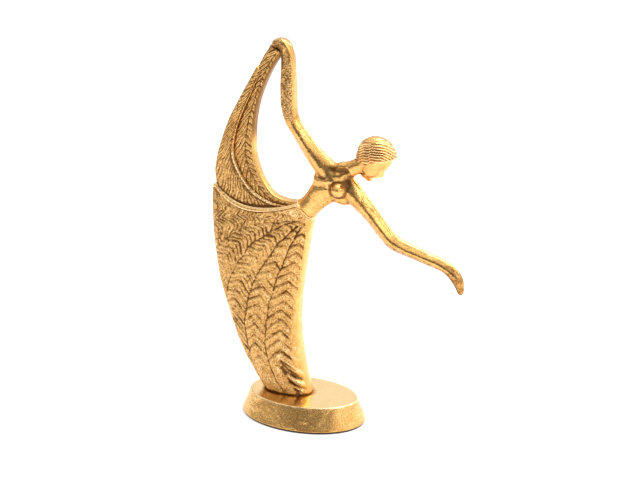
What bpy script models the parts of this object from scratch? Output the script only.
"""A brass dancer with feathered skirts, brazed up from castings and screwed to an oval base.

Frame: +X along the base towards the lowered arm, +Y away from the dancer's front, +Z up.
The origin is the centre of the base's underside. Sizes are given in millimetres.
"""

import math

import bmesh
import bpy
import numpy as np
from mathutils import Euler, Matrix, Vector

MM = 0.001
GAP = 0.3  # seating and brazing gap between neighbouring pieces

# Oval base
BASE_HALF_LENGTH = 52.0
BASE_HALF_DEPTH = 35.0
BASE_HEIGHT = 19.7
BASE_FLARE = 7.3  # how far the top edge lies inside the bottom edge
BASE_WALL = 5.0
BASE_EDGE = 0.8  # rounding of the casting's edges
FELT_THICKNESS = 1.5
FELT_INSET = 1.2

# Fixing screws, up through the base into the skirt's foot
FOOT_X, FOOT_Y = -13.0, 1.0
FOOT_HALF_LENGTH, FOOT_HALF_DEPTH = 20.5, 12.5
SCREW_SPACING = 18.0
SCREW_RADIUS = 2.5
SCREW_REACH = 11.0  # thread inside the skirt's foot
SCREW_HEAD_RADIUS, SCREW_HEAD_HEIGHT = 4.6, 3.2
SLOT_WIDTH, SLOT_DEPTH = 1.2, 1.5
WASHER_RADIUS, WASHER_THICKNESS, WASHER_SPLIT = 4.5, 1.2, 1.0
BOSS_RADIUS, BOSS_DEPTH = 7.0, 2.0

# Spigots that locate the arms and the head while they are brazed
SPIGOT_RADIUS, SPIGOT_LENGTH = 2.6, 6.0
SPIGOT_ROOT = 2.0  # how far a spigot starts inside its own piece

# Skirt: left and right edges from the foot up, as (x, z, half depth)
SKIRT_LEFT = [
    (FOOT_X - FOOT_HALF_LENGTH, BASE_HEIGHT + GAP, FOOT_HALF_DEPTH),
    (-43, 34, 12), (-54, 54, 11.5), (-64.5, 83, 11), (-72.3, 113, 11),
    (-75.8, 143, 11), (-76.5, 165, 10.5), (-76, 183, 9.5),
]
SKIRT_RIGHT = [
    (FOOT_X + FOOT_HALF_LENGTH, BASE_HEIGHT + GAP), (2, 40), (-1.5, 62), (-2.2, 84),
    (-0.8, 104), (2, 123), (5.5, 144), (8, 157), (10.3, 167),
]
# The skirt's upper rim sags between its two corners
SKIRT_RIM = [
    (-76, 183), (-71.5, 186), (-66, 181.6), (-59, 176.6), (-51.5, 173.4), (-44, 171.7), (-36, 171.2),
    (-27, 171.8), (-18, 173), (-10, 174.6), (-4.5, 175.8), (0, 174.5), (4, 170), (7, 167.8), (10.3, 167),
]

# Raised drape, in two leaves: (inner x, inner z, outer x, outer z, half depth) from the waist to the hand
OUTER_LEAF = [
    (-4.5, 177.4, -4.5, 165.5, 5.5), (-14, 176.6, -14, 164, 6), (-26.6, 178, -31, 163.5, 6.5),
    (-39.3, 184.8, -52, 165, 7), (-48.1, 195.5, -68, 176, 7.2), (-53.6, 207, -72.5, 193, 7.2),
    (-55, 216, -71, 207, 7), (-52.6, 230, -66.5, 222, 6.6), (-47.2, 244.4, -59, 240.5, 6.2),
    (-41.5, 256.2, -51, 255, 5.8), (-37.4, 266, -43.5, 268, 5.4),
]
INNER_LEAF = [
    (-5, 178.8, -4.5, 170, 4), (-14, 179.5, -13.5, 168.5, 4.2), (-23, 183, -29, 172, 4.4),
    (-30, 190.5, -42, 181, 4.6), (-35, 201, -51.5, 193, 4.6), (-38, 213, -58, 205.5, 4.6),
    (-38.5, 226, -58, 219, 4.5), (-37.5, 240, -53, 234, 4.3), (-35, 254, -46.5, 248, 4.1),
    (-30, 267, -40.5, 263, 4), (-24.5, 277.5, -37, 276, 4), (-20, 285, -32, 286, 4),
    (-17.5, 289, -26.5, 293.5, 3.8),
]

# Limbs and trunk: (x, z, y, half width in the plane of the pose, half depth)
TRUNK = [
    (4, 174, 0, 8.7, 7), (9.5, 180, 0, 8.7, 7), (15, 186.5, 0, 10.6, 7.8), (20, 192, 0, 13.6, 8.6),
    (25, 198, 0, 15.2, 8.8), (29.5, 203.5, 0, 13.4, 8.2), (33, 207.5, 0, 8.4, 7),
]
WAIST_TENON = [(1, 157, 0, 4.6, 4.4), (2.2, 163, 0, 5, 4.6), (4, 169, 0, 5, 4.6), (7, 177, 0, 5, 4.6)]
NECK = [
    (27, 201, 0, 7, 6.5), (33, 206, 0, 6.5, 6.3), (39.5, 209.5, 0, 6.2, 6), (46, 213, 0, 6, 6),
    (54, 218, 0, 5, 5),
]
RAISED_ARM = [
    (25, 199, 0, 9, 7.4), (16.5, 208.5, 0, 8, 7.2), (8.5, 217.5, 0, 6.9, 6.6), (-0.5, 230, 0, 6.1, 6.1),
    (-7.8, 241, 0, 5.9, 6), (-10.3, 251, 0, 5.8, 5.9), (-10.8, 265, 0, 5.5, 5.6), (-10.8, 279, 0, 5, 5),
    (-11, 289, 0, 4.7, 4.8), (-12.8, 296.5, 0, 4.6, 4.9), (-17, 299.8, 0, 4, 4.9), (-21, 299.2, 0, 3.2, 4.4),
]
LOWERED_ARM = [
    (30, 201, 0, 9, 7.4), (39, 192, 0, 9, 7.2), (48, 182.7, 0, 7.2, 6.6), (57, 173, 0, 6.2, 6.2),
    (66.5, 161.5, 0, 5.9, 6), (72.5, 155, 0, 5.9, 5.9), (83.5, 150.8, 0, 5.4, 5.5), (94.5, 147.3, 0, 5, 5.1),
    (106.5, 143.5, 0, 4.7, 4.6), (115.8, 140, 0, 4.5, 4.2), (122.3, 134.4, 0, 4.3, 3.8),
    (126, 127.5, 0, 3.6, 3.2), (127.2, 121.5, 0, 2.7, 2.8),
]
# How far along its path each limb is cut from the trunk, as a share of the path's stations
SHOULDER_RAISED, SHOULDER_LOWERED, NECK_CUT = 2 / 11, 2 / 12, 0.5
HAND_START = 0.6  # the share of the raised arm's path at which the part that grips the drape starts
STATION_STEP = 14.0  # about the distance between two stations, which turns a gap into a share
BUST_RADIUS = 6.4
BUST = [(23.5, -5.4, 203), (31.5, -5.4, 193.5)]

# Waist collar, a thin ring round the waist
COLLAR_THICKNESS, COLLAR_HEIGHT = 1.1, 1.8

# Head: a cranium and a jaw, tipped forward over the lowered arm
HEAD_CENTRE = (58.5, 0, 220.5)
HEAD_PITCH = 41.0
CRANIUM_RADII = (15.6, 12.8, 14.8)
JAW_OFFSET = (6.0, 0, -9.0)
JAW_RADII = (8.6, 8.4, 10.6)

ROUND_ROWS = 4  # rows of mesh in a tube's rounded end
RIM_STEPS = 120  # steps along the skirt's rim
PATH_STEP = 0.01  # share of a path either side of a point that gives the way it runs
SECTION_POWER = 0.85  # how full the skirt's section is; 1 is an ellipse


def spline(points, share):
    """Catmull-Rom through the points; share runs from 0 at the first to 1 at the last."""
    points = np.asarray(points, float)
    place = min(max(share, 0.0), 1.0) * (len(points) - 1)
    i = min(int(place), len(points) - 2)
    t = place - i
    a, b = points[i], points[i + 1]
    before = points[i - 1] if i else 2 * a - b
    after = points[i + 2] if i + 2 < len(points) else 2 * b - a
    return 0.5 * (
        2 * a + (b - before) * t
        + (2 * before - 5 * a + 4 * b - after) * t**2
        + (3 * a - before - 3 * b + after) * t**3
    )


def skin(surface, around, along):
    """A closed mesh from surface(angle, row): a grid wrapped round once, whose end rows collapse."""
    bm = bmesh.new()
    bmesh.ops.create_grid(bm, x_segments=around, y_segments=along, size=0.5)
    for vert in bm.verts:
        angle = 2 * math.pi * (vert.co.x + 0.5)
        row = round((vert.co.y + 0.5) * along)
        vert.co = Vector(surface(angle, row)) * MM
    bmesh.ops.remove_doubles(bm, verts=bm.verts, dist=1e-6)
    bmesh.ops.recalc_face_normals(bm, faces=bm.faces)
    return bm


def path_point(stations, share):
    """The centre of a tube and the way it runs, in the plane of the pose."""
    x, z, y = spline(stations, share)[:3]
    ahead, behind = spline(stations, share + PATH_STEP), spline(stations, share - PATH_STEP)
    run = Vector((ahead[0] - behind[0], 0, ahead[1] - behind[1])).normalized()
    return Vector((x, y, z)), run


def ring_point(centre, run, half_width, half_depth, angle):
    """A point of an oval ring across the way a path runs."""
    across = Vector((-run.z, 0, run.x))
    return centre + across * half_width * math.cos(angle) + Vector((0, half_depth * math.sin(angle), 0))


def tube_surface(stations, rows, start=0.0, end=1.0, round_end=False, grow=0.0):
    """surface(angle, row) of a tube along the stations, flat at its start and flat or round at its end."""
    # the rows that close an end, as (size, half widths past the end, grows past the end)
    opening = [(0.0, 0.0, -1.0), (1.0, 0.0, -1.0)]
    closing = [(1.0, 0.0, 1.0), (0.0, 0.0, 1.0)]
    if round_end:
        turns = [math.pi / 2 * k / ROUND_ROWS for k in range(ROUND_ROWS)]
        closing = [(math.cos(turn), math.sin(turn), math.sin(turn)) for turn in turns] + [(0.0, 1.0, 1.0)]
    plain = [(1.0, 0.0, 0.0)] * (rows + 1 - len(opening) - len(closing))
    ends = opening + plain + closing

    def surface(angle, row):
        size, widths, grows = ends[row]
        share = start + (end - start) * min(max(row - 1, 0) / (rows - len(closing)), 1.0)
        centre, run = path_point(stations, share)
        half_width, half_depth = spline(stations, share)[3:]
        centre += run * (half_width * widths + grow * grows)
        return ring_point(centre, run, (half_width + grow) * size, (half_depth + grow) * size, angle)

    return surface


def tube(stations, around, rows, **options):
    return skin(tube_surface(stations, rows, **options), around, rows)


def leaf(stations, around, rows, grow=0.0):
    """A flat leaf between an inner and an outer edge, lens-shaped in section and closed at both ends."""

    def surface(angle, row):
        share = min(max(row - 1, 0) / (rows - 2), 1.0)
        inner_x, inner_z, outer_x, outer_z, half_depth = spline(stations, share)
        middle = Vector(((inner_x + outer_x) / 2, 0, (inner_z + outer_z) / 2))
        half = Vector(((inner_x - outer_x) / 2, 0, (inner_z - outer_z) / 2))
        half = half.normalized() * (half.length + grow)
        depth = 0.0 if row in (0, rows) else half_depth + grow
        if row in (0, 1) or row >= rows - 1:
            along = Vector((-half.z, 0, half.x)).normalized() * grow
            middle += along if row >= rows - 1 else -along
        return middle + half * rounded(math.cos(angle)) + Vector((0, 1, 0)) * depth * rounded(math.sin(angle))

    return skin(surface, around, rows)


def rounded(value, power=0.8):
    """Squares up a circle's sine or cosine, so that a section has fuller corners than an ellipse."""
    return math.copysign(abs(value) ** power, value)


def skirt_surface(rows):
    rim_line = np.array([spline(SKIRT_RIM, i / RIM_STEPS) for i in range(RIM_STEPS + 1)])

    def surface(angle, row):
        share = min(max(row - 1, 0) / (rows - 2), 1.0)
        left_x, left_z, half_depth = spline(SKIRT_LEFT, share)
        right_x, right_z = spline(SKIRT_RIGHT, share)
        side = (rounded(math.cos(angle), SECTION_POWER) + 1) / 2
        x = left_x + (right_x - left_x) * side
        z = left_z + (right_z - left_z) * side
        straight = SKIRT_RIM[0][1] + (SKIRT_RIM[-1][1] - SKIRT_RIM[0][1]) * side
        upper_half = max(0.0, 2 * share - 1)
        z += (np.interp(x, rim_line[:, 0], rim_line[:, 1]) - straight) * upper_half**2
        depth = 0.0 if row in (0, rows) else half_depth * rounded(math.sin(angle), SECTION_POWER)
        return Vector((x, FOOT_Y * (1 - share) + depth, z))

    return surface


def base_surface(profile):
    """surface(angle, row) of an oval whose profile lists (inset from the outline, height, size factor)."""

    def surface(angle, row):
        inset, height, size = profile[row]
        return Vector((
            (BASE_HALF_LENGTH - inset) * size * math.cos(angle),
            (BASE_HALF_DEPTH - inset) * size * math.sin(angle),
            height,
        ))

    return surface


def brass(name, roughness, tint=(0.86, 0.60, 0.26)):
    return material(name, tint, roughness, metallic=1.0)


def material(name, colour, roughness, metallic=0.0):
    made = bpy.data.materials.new(name)
    made.use_nodes = True
    shader = made.node_tree.nodes["Principled BSDF"]
    shader.inputs["Base Color"].default_value = (*colour, 1.0)
    shader.inputs["Roughness"].default_value = roughness
    shader.inputs["Metallic"].default_value = metallic
    return made


def place(name, bm, finish):
    """Puts a finished bmesh into the scene as an object, shaded smooth but for its sharp edges."""
    mesh = bpy.data.meshes.new(name)
    bm.to_mesh(mesh)
    bm.free()
    mesh.shade_smooth()
    mesh.set_sharp_from_angle(angle=math.radians(40))
    made = bpy.data.objects.new(name, mesh)
    bpy.context.scene.collection.objects.link(made)
    if finish:
        made.data.materials.append(finish)
    return made


def boolean(target, bm, operation, label):
    """Cuts or joins a helper shape with the target; the helper stays hidden."""
    helper = place(f"{target.name}_{label}", bm, None)
    helper.hide_render = True
    helper.display_type = "WIRE"
    modifier = target.modifiers.new(label, "BOOLEAN")
    modifier.operation = operation
    modifier.solver = "EXACT"
    modifier.object = helper


def cylinder(radius, start, end, sides=20):
    """A cylinder between two points given in millimetres."""
    bm = bmesh.new()
    start, end = Vector(start) * MM, Vector(end) * MM
    run = end - start
    bmesh.ops.create_cone(
        bm, cap_ends=True, segments=sides, radius1=radius * MM, radius2=radius * MM, depth=run.length
    )
    turn = run.to_track_quat("Z", "Y").to_matrix().to_4x4()
    bmesh.ops.transform(bm, matrix=Matrix.Translation((start + end) / 2) @ turn, verts=bm.verts)
    return bm


def ball(centre, radii, rotation=(0, 0, 0), detail=(18, 12)):
    bm = bmesh.new()
    bmesh.ops.create_uvsphere(bm, u_segments=detail[0], v_segments=detail[1], radius=MM)
    turn = Euler([math.radians(a) for a in rotation]).to_matrix().to_4x4()
    place_it = Matrix.Translation(Vector(centre) * MM)
    bmesh.ops.transform(bm, matrix=place_it @ turn @ Matrix.Diagonal((*radii, 1)), verts=bm.verts)
    return bm


def spigot(stations, share, grow=0.0):
    """The round spigot that a limb pushes back into the trunk at its cut."""
    centre, run = path_point(stations, share)
    root, tip = centre + run * SPIGOT_ROOT, centre - run * (SPIGOT_LENGTH + grow)
    return cylinder(SPIGOT_RADIUS + grow, root, tip, sides=12)


def make_base(finish):
    seat = FELT_THICKNESS + GAP
    roof = BASE_HEIGHT - BASE_WALL
    profile = [
        (BASE_FLARE + BASE_WALL, roof, 0),
        (BASE_FLARE + BASE_WALL - 1, roof, 1),
        (BASE_WALL + 0.6, seat, 1),
        (BASE_EDGE, seat, 1),
        (0, seat + BASE_EDGE, 1),
        (BASE_FLARE - 0.4, BASE_HEIGHT - BASE_EDGE, 1),
        (BASE_FLARE + BASE_EDGE, BASE_HEIGHT, 1),
        (BASE_FLARE, BASE_HEIGHT, 0),
    ]
    base = place("base_plinth", skin(base_surface(profile), 48, len(profile) - 1), finish)
    for i, x in enumerate(screw_places()):
        boss = cylinder(BOSS_RADIUS, (x, FOOT_Y, roof - BOSS_DEPTH), (x, FOOT_Y, roof + 1))
        boolean(base, boss, "UNION", f"boss_{i}")
    for i, x in enumerate(screw_places()):
        hole = cylinder(SCREW_RADIUS + GAP, (x, FOOT_Y, 0), (x, FOOT_Y, BASE_HEIGHT + 5))
        boolean(base, hole, "DIFFERENCE", f"hole_{i}")


def make_felt(finish):
    profile = [
        (FELT_INSET, 0, 0), (FELT_INSET, 0, 1), (FELT_INSET, FELT_THICKNESS, 1),
        (FELT_INSET, FELT_THICKNESS, 0),
    ]
    place("base_felt", skin(base_surface(profile), 48, len(profile) - 1), finish)


def screw_places():
    return FOOT_X - SCREW_SPACING / 2, FOOT_X + SCREW_SPACING / 2


def make_fixings(finish):
    """Slotted screws and split washers, heads inside the base's hollow."""
    boss_face = BASE_HEIGHT - BASE_WALL - BOSS_DEPTH
    washer_top = boss_face - GAP
    head_top = washer_top - WASHER_THICKNESS - GAP
    for side, x in zip(("left", "right"), screw_places()):
        head_bottom = head_top - SCREW_HEAD_HEIGHT
        screw = place(
            f"fixing_screw_{side}",
            cylinder(SCREW_HEAD_RADIUS, (x, FOOT_Y, head_bottom), (x, FOOT_Y, head_top)),
            finish,
        )
        shank = cylinder(SCREW_RADIUS, (x, FOOT_Y, head_top - 1), (x, FOOT_Y, BASE_HEIGHT + SCREW_REACH))
        boolean(screw, shank, "UNION", "shank")
        slot = bmesh.new()
        bmesh.ops.create_cube(slot, size=MM)
        size = Matrix.Diagonal((3 * SCREW_HEAD_RADIUS, SLOT_WIDTH, 2 * SLOT_DEPTH, 1))
        middle = Matrix.Translation(Vector((x, FOOT_Y, head_bottom)) * MM)
        bmesh.ops.transform(slot, matrix=middle @ size, verts=slot.verts)
        boolean(screw, slot, "DIFFERENCE", "slot")

        washer = place(
            f"spring_washer_{side}",
            cylinder(WASHER_RADIUS, (x, FOOT_Y, washer_top - WASHER_THICKNESS), (x, FOOT_Y, washer_top)),
            finish,
        )
        hole = cylinder(SCREW_RADIUS + GAP, (x, FOOT_Y, 0), (x, FOOT_Y, BASE_HEIGHT))
        boolean(washer, hole, "DIFFERENCE", "hole")
        split = bmesh.new()
        bmesh.ops.create_cube(split, size=MM)
        size = Matrix.Diagonal((WASHER_SPLIT, 2 * WASHER_RADIUS, 4 * WASHER_THICKNESS, 1))
        middle = Matrix.Translation(Vector((x, FOOT_Y - WASHER_RADIUS, washer_top)) * MM)
        bmesh.ops.transform(split, matrix=middle @ size, verts=split.verts)
        boolean(washer, split, "DIFFERENCE", "split")


def collar_ring():
    """The ring round the waist, across the trunk's first stretch."""
    centre, run = path_point(TRUNK, 0.0)
    half_width, half_depth = TRUNK[0][3:]

    def surface(angle, row):
        out, up = [
            (GAP, 0), (COLLAR_THICKNESS + GAP, 0), (COLLAR_THICKNESS + GAP, COLLAR_HEIGHT),
            (GAP, COLLAR_HEIGHT), (GAP, 0),
        ][row]
        return ring_point(centre + run * up, run, half_width + out, half_depth + out, angle)

    return skin(surface, 24, 4)


def make_skirt(finish):
    rows = 16
    skirt = place("skirt", skin(skirt_surface(rows), 32, rows), finish)
    boolean(skirt, leaf(OUTER_LEAF, 18, 16, GAP), "DIFFERENCE", "outer_pocket")
    boolean(skirt, tube(WAIST_TENON, 14, 5, grow=GAP), "DIFFERENCE", "waist_pocket")
    for i, x in enumerate(screw_places()):
        thread = cylinder(SCREW_RADIUS + GAP, (x, FOOT_Y, 0), (x, FOOT_Y, BASE_HEIGHT + SCREW_REACH + 1))
        boolean(skirt, thread, "DIFFERENCE", f"thread_{i}")


def make_leaves(finish):
    outer = place("outer_drape", leaf(OUTER_LEAF, 18, 16), finish)
    boolean(outer, leaf(INNER_LEAF, 18, 18, GAP), "DIFFERENCE", "inner_pocket")
    inner = place("inner_drape", leaf(INNER_LEAF, 18, 18), finish)
    hand = tube(RAISED_ARM, 14, 12, start=HAND_START, round_end=True, grow=GAP)
    boolean(inner, hand, "DIFFERENCE", "hand_grip")


def make_torso(finish):
    torso = place("torso", tube(TRUNK, 20, 10), finish)
    boolean(torso, tube(WAIST_TENON, 14, 5), "UNION", "tenon")
    arms = (
        (RAISED_ARM, SHOULDER_RAISED, "raised"), (LOWERED_ARM, SHOULDER_LOWERED, "lowered"),
        (NECK, NECK_CUT, "neck"),
    )
    for stations, cut, label in arms:
        end = cut - GAP / STATION_STEP / (len(stations) - 1)
        boolean(torso, tube(stations, 14, 5, end=end), "UNION", label)
    for i, centre in enumerate(BUST):
        boolean(torso, ball(centre, (BUST_RADIUS,) * 3, detail=(12, 8)), "UNION", f"bust_{i}")
    for stations, cut, label in arms:
        boolean(torso, spigot(stations, cut, GAP), "DIFFERENCE", f"{label}_socket")


def make_limbs(finish):
    raised = place("raised_arm", tube(RAISED_ARM, 14, 20, start=SHOULDER_RAISED, round_end=True), finish)
    boolean(raised, spigot(RAISED_ARM, SHOULDER_RAISED), "UNION", "spigot")
    lowered = place("lowered_arm", tube(LOWERED_ARM, 14, 20, start=SHOULDER_LOWERED, round_end=True), finish)
    boolean(lowered, spigot(LOWERED_ARM, SHOULDER_LOWERED), "UNION", "spigot")
    turn = (0, HEAD_PITCH, 0)
    head = place("head", ball(HEAD_CENTRE, CRANIUM_RADII, turn, (20, 12)), finish)
    jaw = Vector(HEAD_CENTRE) + Euler([math.radians(a) for a in turn]).to_matrix() @ Vector(JAW_OFFSET)
    boolean(head, ball(jaw, JAW_RADII, turn, (16, 10)), "UNION", "jaw")
    boolean(head, tube(NECK, 14, 5, start=NECK_CUT), "UNION", "neck")
    boolean(head, spigot(NECK, NECK_CUT), "UNION", "spigot")


def main():
    for old in list(bpy.data.objects):
        bpy.data.objects.remove(old)
    chased = brass("chased_brass", 0.38)
    polished = brass("polished_brass", 0.26)
    steel = material("plated_steel", (0.62, 0.6, 0.56), 0.35, metallic=1.0)
    felt = material("black_felt", (0.03, 0.03, 0.03), 0.95)
    make_base(polished)
    make_felt(felt)
    make_fixings(steel)
    make_skirt(chased)
    make_leaves(chased)
    make_torso(polished)
    make_limbs(polished)
    place("waist_collar", collar_ring(), polished)


main()
